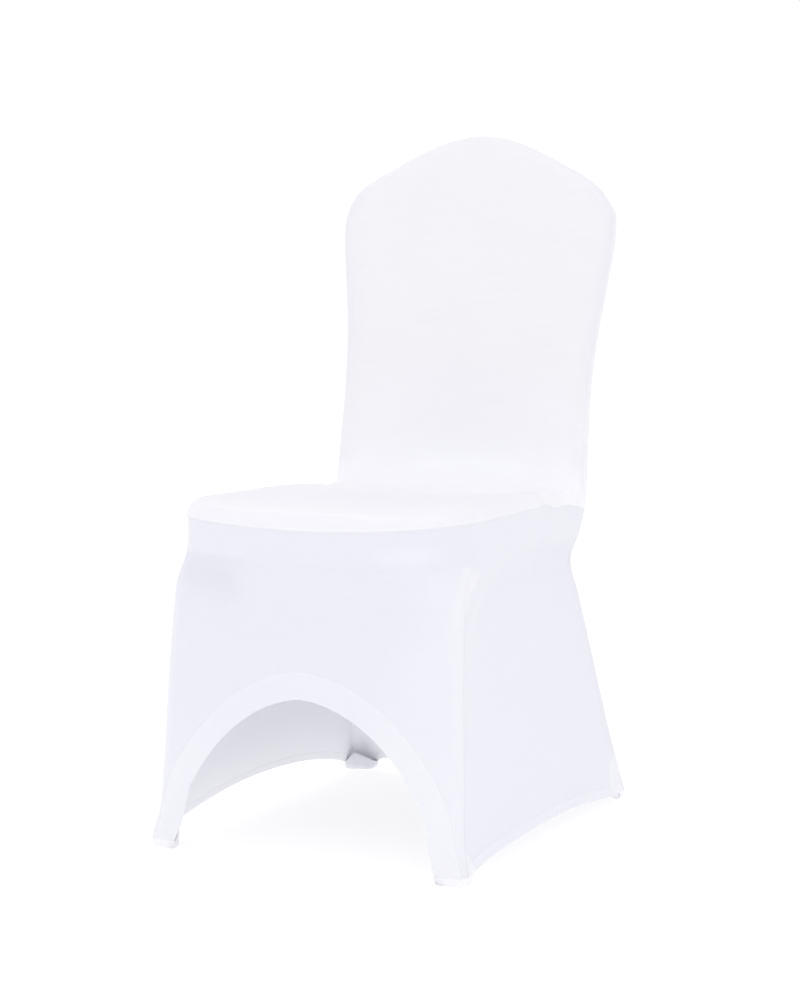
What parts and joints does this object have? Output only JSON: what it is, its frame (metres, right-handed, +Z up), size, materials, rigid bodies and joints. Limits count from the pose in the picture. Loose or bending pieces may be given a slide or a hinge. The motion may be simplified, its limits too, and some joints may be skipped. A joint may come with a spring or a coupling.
{
  "type": "fitted chair cover",
  "caption": "Stretch fabric cover for a stacking banquet chair, with a rounded crown back, a high front arch and a pocket round each foot.",
  "frame": {"origin": "on the floor, under the middle of the cover's bounding box", "axes": "+Z up, -Y towards the front of the seat, +X to the right of someone who faces the front"},
  "size_m": [0.452, 0.564, 0.9492],
  "materials": {
    "seat_and_inside_back_cloth": "white stretch knit, soft sheen",
    "outside_back_cloth": "white stretch knit, soft sheen",
    "front_skirt_cloth": "white stretch knit, soft sheen",
    "side_skirt_left_cloth": "white stretch knit, soft sheen",
    "side_skirt_right_cloth": "white stretch knit, soft sheen",
    "foot_pocket_front_left_cloth": "white stretch knit, soft sheen",
    "foot_pocket_front_right_cloth": "white stretch knit, soft sheen",
    "foot_pocket_rear_left_cloth": "white stretch knit, soft sheen",
    "foot_pocket_rear_right_cloth": "white stretch knit, soft sheen"
  },
  "bodies": {
    "root": {"seat_and_inside_back": "seat_and_inside_back_cloth", "outside_back": "outside_back_cloth", "front_skirt": "front_skirt_cloth", "side_skirt_left": "side_skirt_left_cloth", "side_skirt_right": "side_skirt_right_cloth", "foot_pocket_front_left": "foot_pocket_front_left_cloth", "foot_pocket_front_right": "foot_pocket_front_right_cloth", "foot_pocket_rear_left": "foot_pocket_rear_left_cloth", "foot_pocket_rear_right": "foot_pocket_rear_right_cloth"}
  },
  "joints": []
}
